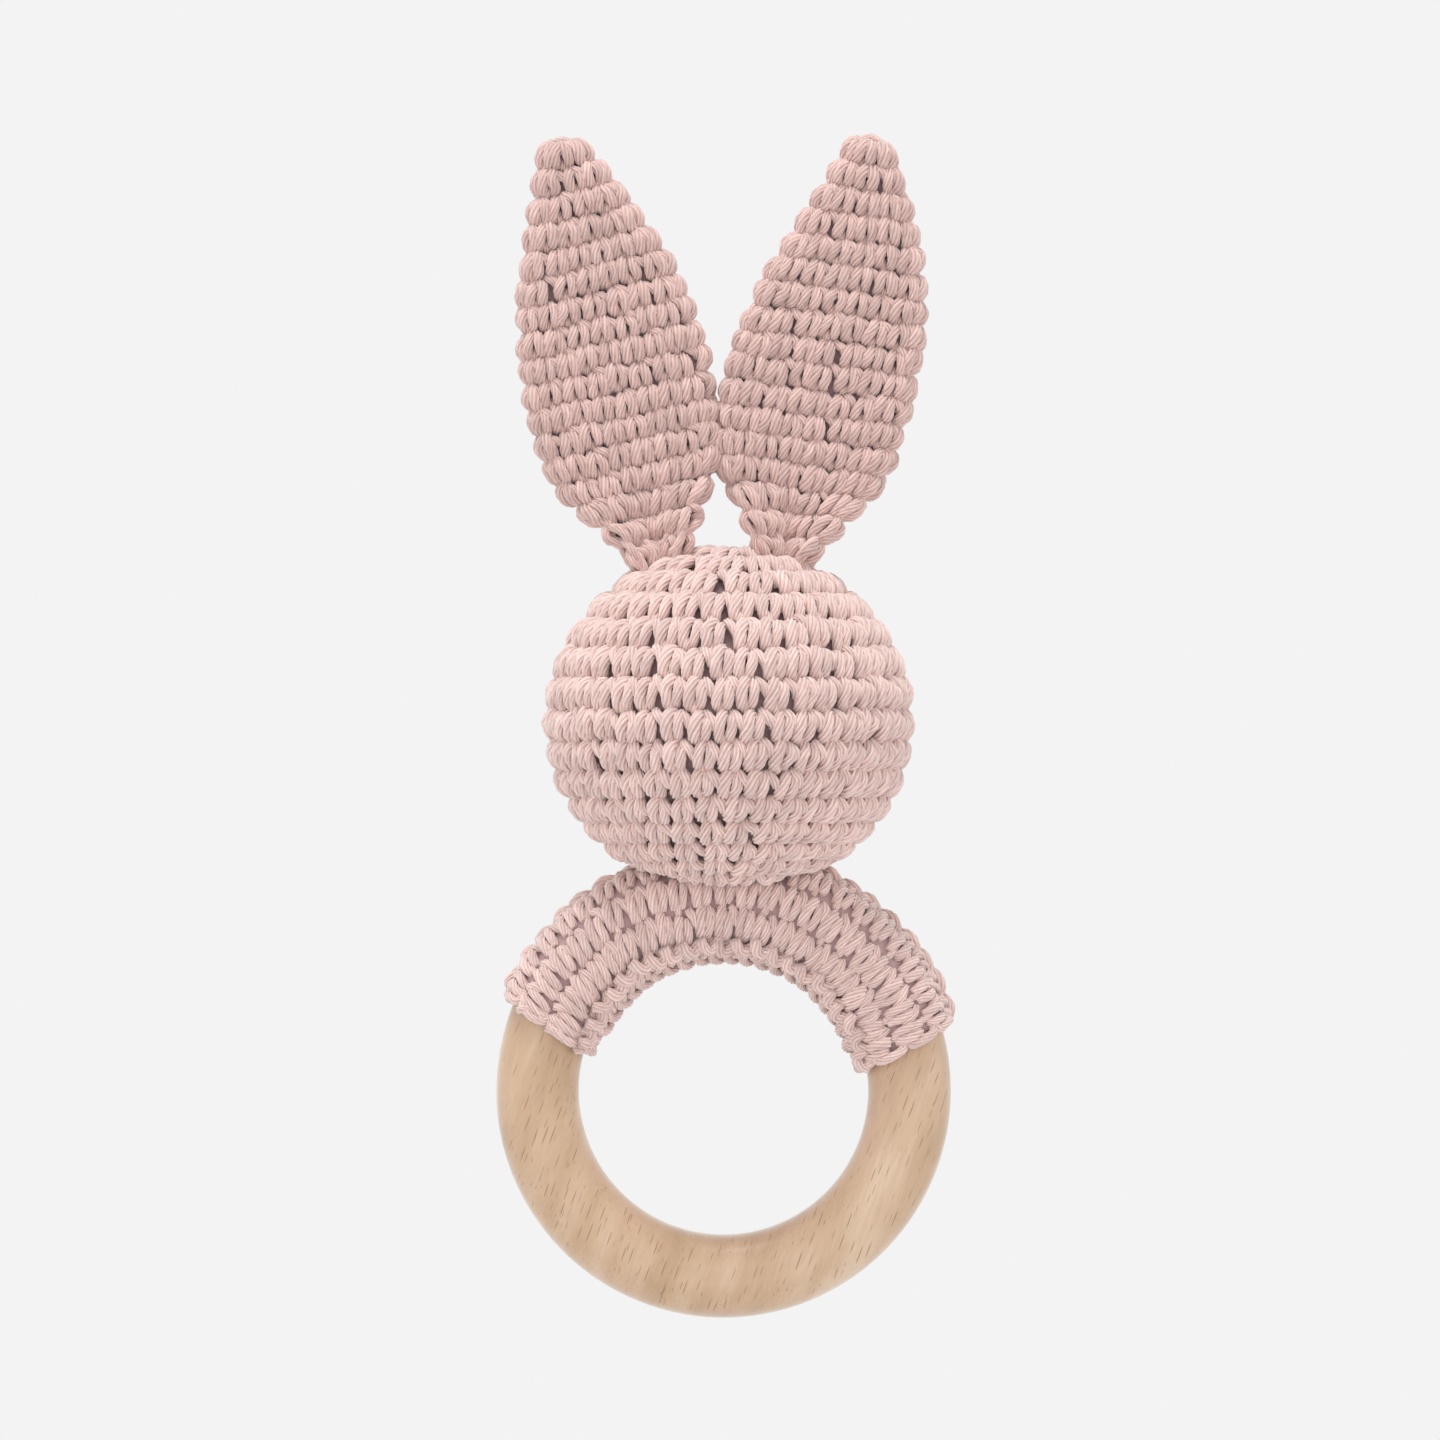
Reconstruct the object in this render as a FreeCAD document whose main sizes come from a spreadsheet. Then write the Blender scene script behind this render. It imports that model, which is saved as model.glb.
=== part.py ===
import math
import os

import FreeCAD
import Part
import Sketcher

# Crocheted bunny on a wooden teething ring.
# Millimetres, +Z up, the face of the ring towards -Y, origin at the ring's centre.
# Left and right are as seen from the front, so the left ear is on the -X side.

SIZES = [
    # the bare wooden hoop: a round ring of rounded-square bar
    ("ring_outer_radius", 35.0),
    ("bar_width", 12.7),
    ("bar_depth", 12.0),
    ("bar_corner", 5.2),
    # the crocheted tube that wraps the top of the hoop
    ("sleeve_wall", 2.0),
    ("sleeve_clearance", 0.2),
    ("sleeve_arc", 145.0),
    ("sleeve_turn", 3.5),
    ("sleeve_seam_gap", 1.7),
    ("sleeve_seam_radius", 0.8),
    # the stuffed head, a flattened ball worked in rounds about a vertical line
    ("head_offset", 0.85),
    ("head_height", 56.9),
    ("head_radius", 28.1),
    ("head_half_height", 26.6),
    ("cover_wall", 3.0),
    ("saddle_radius", 9.4),
    ("stuffing_clearance", 0.1),
    ("neck_seam_reach", 1.2),
    ("neck_seam_rise", 1.0),
    # the rattle drum inside the head, with its axis along X
    ("drum_radius", 14.5),
    ("drum_length", 24.0),
    ("drum_wall", 1.5),
    ("cap_lip", 2.0),
    ("lip_clearance", 0.05),
    ("bead_radius", 2.1),
    ("bead_pitch", 4.5),
    ("bead_clearance", 0.15),
    # the two ears: flattened tubes, pinched where they are sewn on
    ("ear_length", 63.0),
    ("ear_half_width", 14.3),
    ("ear_half_depth", 2.7),
    ("ear_root_radius", 2.7),
    ("ear_root_length", 10.5),
    ("ear_pivot_height", 86.4),
    ("ear_left_pivot", -10.7),
    ("ear_right_pivot", 10.3),
    ("ear_left_lean", -13.0),
    ("ear_right_lean", 12.2),
    ("ear_seam_length", 11.0),
    ("ear_seam_depth", 5.0),
    ("ear_seam_top", 82.9),
    ("ear_seam_height", 8.0),
]

# Along an ear: share of its length, of its half width, and of its half depth.
EAR_STATIONS = [
    (0.00, 0.47, 0.95),
    (0.08, 0.735, 1.00),
    (0.17, 0.90, 1.00),
    (0.36, 1.00, 1.00),
    (0.50, 0.965, 1.00),
    (0.62, 0.88, 0.98),
    (0.74, 0.69, 0.94),
    (0.86, 0.475, 0.88),
    (0.95, 0.29, 0.70),
    (0.985, 0.17, 0.45),
    (1.00, 0.05, 0.18),
]

BEAD_COUNT = 4
# A sketch's own origin, as a constraint names it.
ORIGIN_POINT = (-1, 1)
Y_TURN = FreeCAD.Rotation(FreeCAD.Vector(0, 1, 0), 90)
X_TURN = FreeCAD.Rotation(FreeCAD.Vector(1, 0, 0), 90)

# Lengths and places worked out from the sheet's cells.
BAR_CENTRE = "sizes.ring_outer_radius - sizes.bar_width / 2"
SLEEVE_INNER_GROWTH = "sizes.sleeve_clearance"
SLEEVE_OUTER_GROWTH = "(sizes.sleeve_clearance + sizes.sleeve_wall)"
SEAM_CENTRE = (
    "sizes.ring_outer_radius - sizes.bar_width - sizes.sleeve_clearance"
    " - sizes.sleeve_wall / 2"
)
# The slit runs a little past both ends of the sleeve, so that it is open there.
SLIT_ARC = "sizes.sleeve_arc + 2"
DRUM_START = "sizes.head_offset - sizes.drum_length / 2"
CAP_START = f"{DRUM_START} + sizes.drum_length - sizes.drum_wall"
LIP_START = f"{CAP_START} - sizes.cap_lip"
LIP_OUTER = "sizes.drum_radius - sizes.drum_wall - sizes.lip_clearance"


def make_sheet(doc):
    """The driving dimensions, one named cell each."""
    sheet = doc.addObject("Spreadsheet::Sheet", "sizes")
    for row, (alias, value) in enumerate(SIZES, start=1):
        sheet.set(f"A{row}", alias)
        sheet.set(f"B{row}", str(value))
        sheet.setAlias(f"B{row}", alias)
    doc.recompute()
    return sheet


def origin_plane(body, role):
    """One of a body's own origin planes."""
    return next(item for item in body.Origin.OriginFeatures if item.Role == role)


def new_sketch(body, name, role):
    sketch = body.newObject("Sketcher::SketchObject", name)
    sketch.AttachmentSupport = [(origin_plane(body, role), "")]
    sketch.MapMode = "FlatFace"
    return sketch


def name_constraint(sketch, constraint, name, expression):
    """Add a dimension to a sketch and bind it to the sheet."""
    index = sketch.addConstraint(constraint)
    sketch.renameConstraint(index, name)
    sketch.setExpression(f"Constraints.{name}", expression)


def rounded_rectangle(sketch, prefix, near, width, depth, corner, growth):
    """A rounded rectangle, even about the sketch's horizontal axis.

    near is the sheet expression of its edge nearest the ring's axis. growth is
    how far the outline stands outside the bare bar's section on every side.
    """
    first = sketch.GeometryCount
    # where the outline is drawn before its dimensions pull it into place
    left, right = 22.0, 35.0
    low, high, bend = -6.0, 6.0, 5.0
    vector = FreeCAD.Vector
    quarter = math.pi / 2

    def corner_arc(x, y, start):
        circle = Part.Circle(vector(x, y, 0), vector(0, 0, 1), bend)
        return Part.ArcOfCircle(circle, start * quarter, (start + 1) * quarter)

    outline = [
        Part.LineSegment(vector(left + bend, low, 0), vector(right - bend, low, 0)),
        corner_arc(right - bend, low + bend, -1),
        Part.LineSegment(vector(right, low + bend, 0), vector(right, high - bend, 0)),
        corner_arc(right - bend, high - bend, 0),
        Part.LineSegment(vector(right - bend, high, 0), vector(left + bend, high, 0)),
        corner_arc(left + bend, high - bend, 1),
        Part.LineSegment(vector(left, high - bend, 0), vector(left, low + bend, 0)),
        corner_arc(left + bend, low + bend, 2),
    ]
    sketch.addGeometry(outline, False)
    bottom, right_side, top, left_side = first, first + 2, first + 4, first + 6
    arcs = [first + 1, first + 3, first + 5, first + 7]
    for step in range(8):
        after = first + (step + 1) % 8
        sketch.addConstraint(Sketcher.Constraint("Tangent", first + step, 2, after, 1))
    for line in (bottom, top):
        sketch.addConstraint(Sketcher.Constraint("Horizontal", line))
    for line in (left_side, right_side):
        sketch.addConstraint(Sketcher.Constraint("Vertical", line))
    for arc in arcs[1:]:
        sketch.addConstraint(Sketcher.Constraint("Equal", arcs[0], arc))

    name_constraint(
        sketch,
        Sketcher.Constraint("Radius", arcs[0], bend),
        f"{prefix}_corner",
        f"{corner} + {growth}",
    )
    name_constraint(
        sketch,
        Sketcher.Constraint("DistanceX", *ORIGIN_POINT, left_side, 1, left),
        f"{prefix}_near",
        f"{near} - {growth}",
    )
    name_constraint(
        sketch,
        Sketcher.Constraint("DistanceX", left_side, 1, right_side, 1, right - left),
        f"{prefix}_width",
        f"{width} + 2 * {growth}",
    )
    name_constraint(
        sketch,
        Sketcher.Constraint("DistanceY", bottom, 1, *ORIGIN_POINT, -low),
        f"{prefix}_below",
        f"{depth} / 2 + {growth}",
    )
    name_constraint(
        sketch,
        Sketcher.Constraint("DistanceY", bottom, 1, top, 1, high - low),
        f"{prefix}_depth",
        f"{depth} + 2 * {growth}",
    )


def bar_section(sketch, prefix, growth):
    """The hoop's bar section in the XY plane, grown evenly by growth."""
    rounded_rectangle(
        sketch,
        prefix,
        "sizes.ring_outer_radius - sizes.bar_width",
        "sizes.bar_width",
        "sizes.bar_depth",
        "sizes.bar_corner",
        growth,
    )


def turn_about_ring_axis(body, kind, name, sketch, angle):
    """A Revolution or Groove of a sketch about the ring's axis, even both ways.

    angle is a number of degrees, or the sheet expression of one.
    """
    feature = body.newObject(kind, name)
    feature.Profile = sketch
    feature.ReferenceAxis = (sketch, ["V_Axis"])
    feature.Midplane = True
    if isinstance(angle, str):
        feature.setExpression("Angle", angle)
    else:
        feature.Angle = angle
    sketch.Visibility = False
    body.Tip = feature
    return feature


def make_wooden_ring(doc):
    body = doc.addObject("PartDesign::Body", "wooden_ring")
    sketch = new_sketch(body, "ring_section", "XY_Plane")
    bar_section(sketch, "bar", "0")
    turn_about_ring_axis(body, "PartDesign::Revolution", "ring_hoop", sketch, 360)
    return body


def place_on_ring_top(body):
    """Turn a piece made about +X so that its middle lies at the top of the ring."""
    body.Placement = FreeCAD.Placement(FreeCAD.Vector(), Y_TURN)
    body.setExpression("Placement.Rotation.Axis.y", "1")
    body.setExpression("Placement.Rotation.Angle", "sizes.sleeve_turn - 90")


def make_ring_sleeve(doc):
    """A sheet wrapped round the bar, with the slit where its edges are sewn."""
    body = doc.addObject("PartDesign::Body", "ring_sleeve")
    wall = new_sketch(body, "sleeve_section", "XY_Plane")
    bar_section(wall, "outside", SLEEVE_OUTER_GROWTH)
    bar_section(wall, "inside", SLEEVE_INNER_GROWTH)
    turn_about_ring_axis(
        body, "PartDesign::Revolution", "sleeve_tube", wall, "sizes.sleeve_arc"
    )
    doc.recompute()
    slit = new_sketch(body, "slit_section", "XY_Plane")
    rectangle(slit, "slit", SEAM_CENTRE, "2 * sizes.sleeve_wall", "sizes.sleeve_seam_gap")
    turn_about_ring_axis(body, "PartDesign::Groove", "sleeve_slit", slit, SLIT_ARC)
    place_on_ring_top(body)
    return body


def rectangle(sketch, prefix, centre, width, depth):
    """A plain rectangle even about the sketch's horizontal axis."""
    first = sketch.GeometryCount
    # where the outline is drawn before its dimensions pull it into place
    left, right, low, high = 19.0, 23.0, -1.0, 1.0
    corners = [(left, low), (right, low), (right, high), (left, high)]
    points = [FreeCAD.Vector(x, y, 0) for x, y in corners]
    for index in range(4):
        line = Part.LineSegment(points[index], points[(index + 1) % 4])
        sketch.addGeometry(line, False)
    for index in range(4):
        after = first + (index + 1) % 4
        sketch.addConstraint(
            Sketcher.Constraint("Coincident", first + index, 2, after, 1)
        )
    for index, kind in enumerate(("Horizontal", "Vertical", "Horizontal", "Vertical")):
        sketch.addConstraint(Sketcher.Constraint(kind, first + index))
    name_constraint(
        sketch,
        Sketcher.Constraint("DistanceX", *ORIGIN_POINT, first, 1, left),
        f"{prefix}_near",
        f"{centre} - {width} / 2",
    )
    name_constraint(
        sketch,
        Sketcher.Constraint("DistanceX", first, 1, first, 2, right - left),
        f"{prefix}_width",
        width,
    )
    name_constraint(
        sketch,
        Sketcher.Constraint("DistanceY", first, 1, *ORIGIN_POINT, -low),
        f"{prefix}_below",
        f"{depth} / 2",
    )
    name_constraint(
        sketch,
        Sketcher.Constraint("DistanceY", first + 1, 1, first + 1, 2, high - low),
        f"{prefix}_depth",
        depth,
    )


def make_sleeve_seam_yarn(doc):
    """The yarn laced along the slit on the inner side of the sleeve."""
    body = doc.addObject("PartDesign::Body", "sleeve_seam_yarn")
    sketch = new_sketch(body, "seam_section", "XY_Plane")
    # where the circle is drawn before its dimensions pull it into place
    centre, radius = 21.0, 1.0
    circle = Part.Circle(FreeCAD.Vector(centre, 0, 0), FreeCAD.Vector(0, 0, 1), radius)
    sketch.addGeometry(circle, False)
    sketch.addConstraint(Sketcher.Constraint("PointOnObject", 0, 3, -1))
    name_constraint(
        sketch,
        Sketcher.Constraint("DistanceX", *ORIGIN_POINT, 0, 3, centre),
        "seam_centre",
        SEAM_CENTRE,
    )
    name_constraint(
        sketch,
        Sketcher.Constraint("Radius", 0, radius),
        "seam_radius",
        "sizes.sleeve_seam_radius",
    )
    turn_about_ring_axis(
        body, "PartDesign::Revolution", "seam_arc", sketch, "sizes.sleeve_arc"
    )
    place_on_ring_top(body)
    return body


def head_ellipsoid(doc, name, growth):
    """The head's flattened ball, grown evenly by growth."""
    ball = doc.addObject("Part::Ellipsoid", name)
    ball.setExpression("Radius1", f"sizes.head_half_height + {growth}")
    ball.setExpression("Radius2", f"sizes.head_radius + {growth}")
    ball.setExpression("Radius3", f"sizes.head_radius + {growth}")
    ball.setExpression("Placement.Base.x", "sizes.head_offset")
    ball.setExpression("Placement.Base.z", "sizes.head_height")
    return ball


def saddle_torus(doc, name, growth):
    """The round envelope of the sleeve that the head sits astride."""
    torus = doc.addObject("Part::Torus", name)
    torus.setExpression("Radius1", BAR_CENTRE)
    torus.setExpression("Radius2", f"sizes.saddle_radius + {growth}")
    torus.Placement = FreeCAD.Placement(FreeCAD.Vector(), X_TURN)
    return torus


def boolean(doc, kind, name, base, tool):
    result = doc.addObject(kind, name)
    result.Base = base
    result.Tool = tool
    return result


def make_head_cover(doc):
    """A hollow crocheted ball whose underside is dented over the sleeve."""
    outside = boolean(
        doc,
        "Part::Cut",
        "head_outside",
        head_ellipsoid(doc, "head_ball", "0"),
        saddle_torus(doc, "head_saddle", "0"),
    )
    hollow = boolean(
        doc,
        "Part::Cut",
        "head_hollow",
        head_ellipsoid(doc, "hollow_ball", "-sizes.cover_wall"),
        saddle_torus(doc, "hollow_saddle", "sizes.cover_wall"),
    )
    return boolean(doc, "Part::Cut", "head_cover", outside, hollow)


def x_cylinder(doc, name, radius, height, start):
    """A cylinder along X on the drum's axis, from start to start + height."""
    cylinder = doc.addObject("Part::Cylinder", name)
    cylinder.setExpression("Radius", radius)
    cylinder.setExpression("Height", height)
    cylinder.Placement = FreeCAD.Placement(FreeCAD.Vector(), Y_TURN)
    cylinder.setExpression("Placement.Base.x", start)
    cylinder.setExpression("Placement.Base.z", "sizes.head_height")
    return cylinder


def make_head_stuffing(doc):
    """Fibre filling that packs the head round the rattle drum."""
    filling = boolean(
        doc,
        "Part::Cut",
        "stuffing_ball",
        head_ellipsoid(
            doc, "filling_ball", "(-sizes.cover_wall - sizes.stuffing_clearance)"
        ),
        saddle_torus(
            doc, "filling_saddle", "(sizes.cover_wall + sizes.stuffing_clearance)"
        ),
    )
    room = x_cylinder(
        doc,
        "drum_room",
        "sizes.drum_radius + sizes.stuffing_clearance",
        "sizes.drum_length + 2 * sizes.stuffing_clearance",
        f"{DRUM_START} - sizes.stuffing_clearance",
    )
    return boolean(doc, "Part::Cut", "head_stuffing", filling, room)


def make_neck_seam_yarn(doc):
    """Stitches in the groove where the head's underside meets the sleeve."""
    skin = boolean(
        doc,
        "Part::Cut",
        "neck_skin",
        head_ellipsoid(doc, "neck_ball", "sizes.neck_seam_rise"),
        head_ellipsoid(doc, "neck_ball_core", "0"),
    )
    band = boolean(
        doc,
        "Part::Cut",
        "neck_band",
        saddle_torus(doc, "neck_saddle", "sizes.neck_seam_reach"),
        saddle_torus(doc, "neck_saddle_core", "0"),
    )
    return boolean(doc, "Part::Common", "neck_seam_yarn", skin, band)


def make_rattle_drum(doc):
    """The drum's cup: a tube with one closed end."""
    shell = x_cylinder(
        doc,
        "drum_shell",
        "sizes.drum_radius",
        "sizes.drum_length - sizes.drum_wall",
        DRUM_START,
    )
    room = x_cylinder(
        doc,
        "drum_hollow",
        "sizes.drum_radius - sizes.drum_wall",
        "sizes.drum_length",
        f"{DRUM_START} + sizes.drum_wall",
    )
    return boolean(doc, "Part::Cut", "rattle_drum", shell, room)


def make_rattle_cap(doc):
    """The drum's lid: a disc with a ring-shaped lip that presses into the cup."""
    disc = x_cylinder(doc, "cap_disc", "sizes.drum_radius", "sizes.drum_wall", CAP_START)
    lip_solid = x_cylinder(doc, "cap_lip_solid", LIP_OUTER, "sizes.cap_lip", LIP_START)
    plug = boolean(doc, "Part::Fuse", "cap_plug", disc, lip_solid)
    lip_room = x_cylinder(
        doc, "cap_lip_room", f"{LIP_OUTER} - sizes.drum_wall", "sizes.cap_lip", LIP_START
    )
    return boolean(doc, "Part::Cut", "rattle_cap", plug, lip_room)


def make_rattle_bead(doc, index):
    """A bead at the foot of the drum, in its own lane along X."""
    bead = doc.addObject("Part::Sphere", f"rattle_bead_{index + 1}")
    lane = index - (BEAD_COUNT - 1) / 2
    bead.setExpression("Radius", "sizes.bead_radius")
    bead.setExpression(
        "Placement.Base.x",
        f"sizes.head_offset - sizes.cap_lip / 2 + {lane} * sizes.bead_pitch",
    )
    bead.setExpression(
        "Placement.Base.z",
        "sizes.head_height - sizes.drum_radius + sizes.drum_wall"
        " + sizes.bead_radius + sizes.bead_clearance",
    )
    return bead


def make_ear(doc, side):
    """A leaf-shaped ear on a rolled root that turns about a line along X."""
    sections = []
    for index, (along, across, deep) in enumerate(EAR_STATIONS):
        section = doc.addObject("Part::Ellipse", f"ear_{side}_section_{index + 1}")
        section.setExpression("MajorRadius", f"sizes.ear_half_width * {across}")
        section.setExpression("MinorRadius", f"sizes.ear_half_depth * {deep}")
        section.setExpression("Placement.Base.z", f"sizes.ear_length * {along}")
        sections.append(section)
    blade = doc.addObject("Part::Loft", f"ear_{side}_blade")
    blade.Sections = sections
    blade.Solid = True
    root = doc.addObject("Part::Cylinder", f"ear_{side}_root")
    root.setExpression("Radius", "sizes.ear_root_radius")
    root.setExpression("Height", "sizes.ear_root_length")
    lean = f"sizes.ear_{side}_lean"
    root.Placement = FreeCAD.Placement(FreeCAD.Vector(), Y_TURN)
    root.setExpression("Placement.Rotation.Angle", f"90 - {lean}")
    half_root = "sizes.ear_root_length / 2"
    root.setExpression("Placement.Base.x", f"-{half_root} * cos({lean} * 1 deg)")
    root.setExpression("Placement.Base.z", f"-{half_root} * sin({lean} * 1 deg)")
    ear = boolean(doc, "Part::Fuse", f"ear_{side}", blade, root)
    ear.Placement = FreeCAD.Placement(FreeCAD.Vector(), Y_TURN)
    ear.setExpression("Placement.Rotation.Angle", lean)
    ear.setExpression("Placement.Base.x", f"sizes.ear_{side}_pivot")
    ear.setExpression("Placement.Base.z", "sizes.ear_pivot_height")
    return ear


def make_ear_seam_yarn(doc, side):
    """The wedge of stitches between an ear's root and the head."""
    block = doc.addObject("Part::Box", f"ear_{side}_seam_block")
    block.setExpression("Length", "sizes.ear_seam_length")
    block.setExpression("Width", "sizes.ear_seam_depth")
    block.setExpression("Height", "sizes.ear_seam_height")
    block.setExpression(
        "Placement.Base.x", f"sizes.ear_{side}_pivot - sizes.ear_seam_length / 2"
    )
    block.setExpression("Placement.Base.y", "-sizes.ear_seam_depth / 2")
    block.setExpression("Placement.Base.z", "sizes.ear_seam_top - sizes.ear_seam_height")
    ball = head_ellipsoid(doc, f"ear_{side}_seam_ball", "0")
    return boolean(doc, "Part::Cut", f"ear_{side}_seam_yarn", block, ball)


def check_document(doc):
    """Stop if any object of the document failed to build."""
    for item in doc.Objects:
        bad = [state for state in item.State if state in ("Invalid", "Error")]
        if bad:
            raise RuntimeError(f"{item.Name} is {bad}")


def write_steps(pieces):
    os.makedirs("parts", exist_ok=True)
    for piece in pieces:
        shape = piece.Shape
        if shape.isNull() or not shape.isValid() or shape.Volume <= 0:
            raise RuntimeError(f"{piece.Label} has no valid solid")
        shape.exportStep(f"parts/{piece.Label}.step")
        box = shape.BoundBox
        print(
            f"{piece.Label}: {shape.Volume:.1f} mm3, {len(shape.Solids)} solid,"
            f" X {box.XMin:.2f} to {box.XMax:.2f}, Y {box.YMin:.2f} to {box.YMax:.2f},"
            f" Z {box.ZMin:.2f} to {box.ZMax:.2f}"
        )


def main():
    doc = FreeCAD.newDocument("teething_ring")
    make_sheet(doc)
    pieces = [
        make_wooden_ring(doc),
        make_ring_sleeve(doc),
        make_sleeve_seam_yarn(doc),
        make_head_cover(doc),
        make_head_stuffing(doc),
        make_neck_seam_yarn(doc),
        make_rattle_drum(doc),
        make_rattle_cap(doc),
    ]
    pieces += [make_rattle_bead(doc, index) for index in range(BEAD_COUNT)]
    for side in ("left", "right"):
        pieces.append(make_ear(doc, side))
        pieces.append(make_ear_seam_yarn(doc, side))
    for piece in pieces:
        piece.Label = piece.Name
    doc.recompute()
    check_document(doc)
    write_steps(pieces)


main()
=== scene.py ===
import math

import bmesh
import bpy
import numpy as np
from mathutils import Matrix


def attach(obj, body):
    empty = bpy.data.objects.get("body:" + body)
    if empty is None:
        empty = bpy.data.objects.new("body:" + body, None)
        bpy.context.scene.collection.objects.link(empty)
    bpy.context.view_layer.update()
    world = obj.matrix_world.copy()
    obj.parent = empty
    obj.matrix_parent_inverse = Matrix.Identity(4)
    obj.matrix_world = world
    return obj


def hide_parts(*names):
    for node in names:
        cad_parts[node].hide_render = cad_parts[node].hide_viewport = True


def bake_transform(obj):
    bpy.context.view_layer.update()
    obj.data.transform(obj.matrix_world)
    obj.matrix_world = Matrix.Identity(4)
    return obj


# The looks of a crocheted bunny on a wooden teething ring.
# Lengths are millimetres until a mesh is made, and metres for the camera, stage and lights.
# The frame is the CAD's: +Z up, the front towards -Y, the ring's centre at the origin.
# The left ear is on the -X side.

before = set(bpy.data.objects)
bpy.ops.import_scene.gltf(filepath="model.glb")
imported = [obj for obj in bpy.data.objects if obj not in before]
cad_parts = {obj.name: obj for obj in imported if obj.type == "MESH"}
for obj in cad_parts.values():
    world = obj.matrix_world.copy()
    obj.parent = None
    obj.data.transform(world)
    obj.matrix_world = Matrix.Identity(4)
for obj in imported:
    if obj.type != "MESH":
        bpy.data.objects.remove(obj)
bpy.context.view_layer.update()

MM = 0.001
RANDOM = np.random.default_rng(41)

# The yarn: plies laid round each other, drawn as lobes on one strand.
PLIES = 8
LOBE = (0.74, 0.97, 1.0)
PROFILE = np.tile(LOBE, PLIES)
RING_POINTS = len(PROFILE)
YARN_RADIUS = 0.82
YARN_TWIST = 0.5  # radians per millimetre
YARN_ROUGHNESS = 0.035
YARN_ON_SPOOL = 400.0  # each strand is cut from anywhere along this length
STRAND_TONE = 0.4  # the strand's share of the tone, the rest being each ply's

# The wooden ring: its outer radius, and the rounded-square bar it is turned to.
RING_RADIUS = 35.0
BAR_WIDTH = 12.7
BAR_DEPTH = 12.0
BAR_CORNER = 5.2
BAR_CENTRE = RING_RADIUS - BAR_WIDTH / 2

HEAD_CENTRE = np.array([0.85, 0.0, 56.9])
HEAD_RADIUS = 28.1
HEAD_HALF_HEIGHT = 26.6
SADDLE_RADIUS = 9.4  # the round space about the bar's middle that the head leaves to the sleeve


# ---------------------------------------- yarn


def smoothing_matrix(count, samples):
    """Weights that turn count control points into samples on a smooth line through them."""
    extended = np.zeros((count + 2, count))  # with one more point past each end, in line
    extended[1:-1] = np.eye(count)
    extended[0, :2] = (2, -1)
    extended[-1, -2:] = (-1, 2)
    at = np.linspace(0, count - 1, samples)
    start = np.minimum(at.astype(int), count - 2)
    t = at - start
    cubic = (
        (-t + 2 * t**2 - t**3) / 2,
        (2 - 5 * t**2 + 3 * t**3) / 2,
        (t + 4 * t**2 - 3 * t**3) / 2,
        (-(t**2) + t**3) / 2,
    )
    weights = np.zeros((samples, count + 2))
    for step, weight in enumerate(cubic):
        weights[np.arange(samples), start + step] = weight
    return weights @ extended


def unit(vectors):
    length = np.linalg.norm(vectors, axis=-1, keepdims=True)
    return vectors / np.maximum(length, 1e-9)


def strand_frames(paths, outward):
    """Two directions across each strand, carried along it without spinning."""
    along = unit(np.gradient(paths, axis=1))
    first = np.empty_like(paths)
    guess = outward[:, 0]
    for step in range(paths.shape[1]):
        tangent = along[:, step]
        across = guess - (guess * tangent).sum(-1, keepdims=True) * tangent
        first[:, step] = unit(across)
        guess = first[:, step]
    return first, np.cross(along, first)


def tube_faces(tubes, samples, around):
    """The quads along many tubes of points, and the caps at both their ends."""
    ring = np.arange(around)
    after = (ring + 1) % around
    step = (np.arange(samples - 1) * around)[:, None]
    quads = np.stack(
        [step + ring, step + after, step + around + after, step + around + ring], axis=-1
    ).reshape(-1, 4)
    last = (samples - 1) * around
    caps = np.stack([ring[::-1], last + ring])
    base = (np.arange(tubes) * samples * around)[:, None, None]
    return (base + quads).reshape(-1, 4), (base + caps).reshape(-1, around)


def strand_mesh(paths, outward, radius):
    """Points, faces, yarn coordinates and tones of many strands of the same count.

    paths and outward are (strands, samples, 3), radius is (strands, samples).
    """
    strands, samples, _ = paths.shape
    first, second = strand_frames(paths, outward)
    steps = np.linalg.norm(np.diff(paths, axis=1), axis=-1)
    length = np.concatenate([np.zeros((strands, 1)), np.cumsum(steps, axis=1)], axis=1)
    start = RANDOM.uniform(0, 2 * math.pi, (strands, 1))
    angle = np.arange(RING_POINTS) * 2 * math.pi / RING_POINTS
    turned = angle + (start + YARN_TWIST * length)[:, :, None]
    rough = RANDOM.normal(1.0, YARN_ROUGHNESS, (strands, samples, RING_POINTS))
    reach = radius[:, :, None] * PROFILE * rough
    points = (
        paths[:, :, None, :]
        + (reach * np.cos(turned))[..., None] * first[:, :, None, :]
        + (reach * np.sin(turned))[..., None] * second[:, :, None, :]
    )
    shift = RANDOM.uniform(0, YARN_ON_SPOOL, (strands, 1))
    yarn = np.empty((strands, samples, RING_POINTS, 3))
    yarn[..., 0] = YARN_RADIUS * np.cos(angle)
    yarn[..., 1] = YARN_RADIUS * np.sin(angle)
    yarn[..., 2] = (length + shift)[:, :, None]
    # The lobe height at each point, which the cotton material turns into painted shade between the
    # plies.
    depth = np.broadcast_to(PROFILE, (strands, samples, RING_POINTS))
    of_strand = RANDOM.uniform(0, 1, (strands, 1, 1))
    of_ply = np.repeat(RANDOM.uniform(0, 1, (strands, 1, PLIES)), len(LOBE), axis=2)
    tone = STRAND_TONE * of_strand + (1 - STRAND_TONE) * of_ply
    tone = np.broadcast_to(tone, depth.shape)
    quads, caps = tube_faces(strands, samples, RING_POINTS)
    return {
        "points": points.reshape(-1, 3),
        "quads": quads,
        "caps": caps,
        "yarn": yarn.reshape(-1, 3),
        "ply": depth.reshape(-1).copy(),
        "tone": tone.reshape(-1).copy(),
    }


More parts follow.
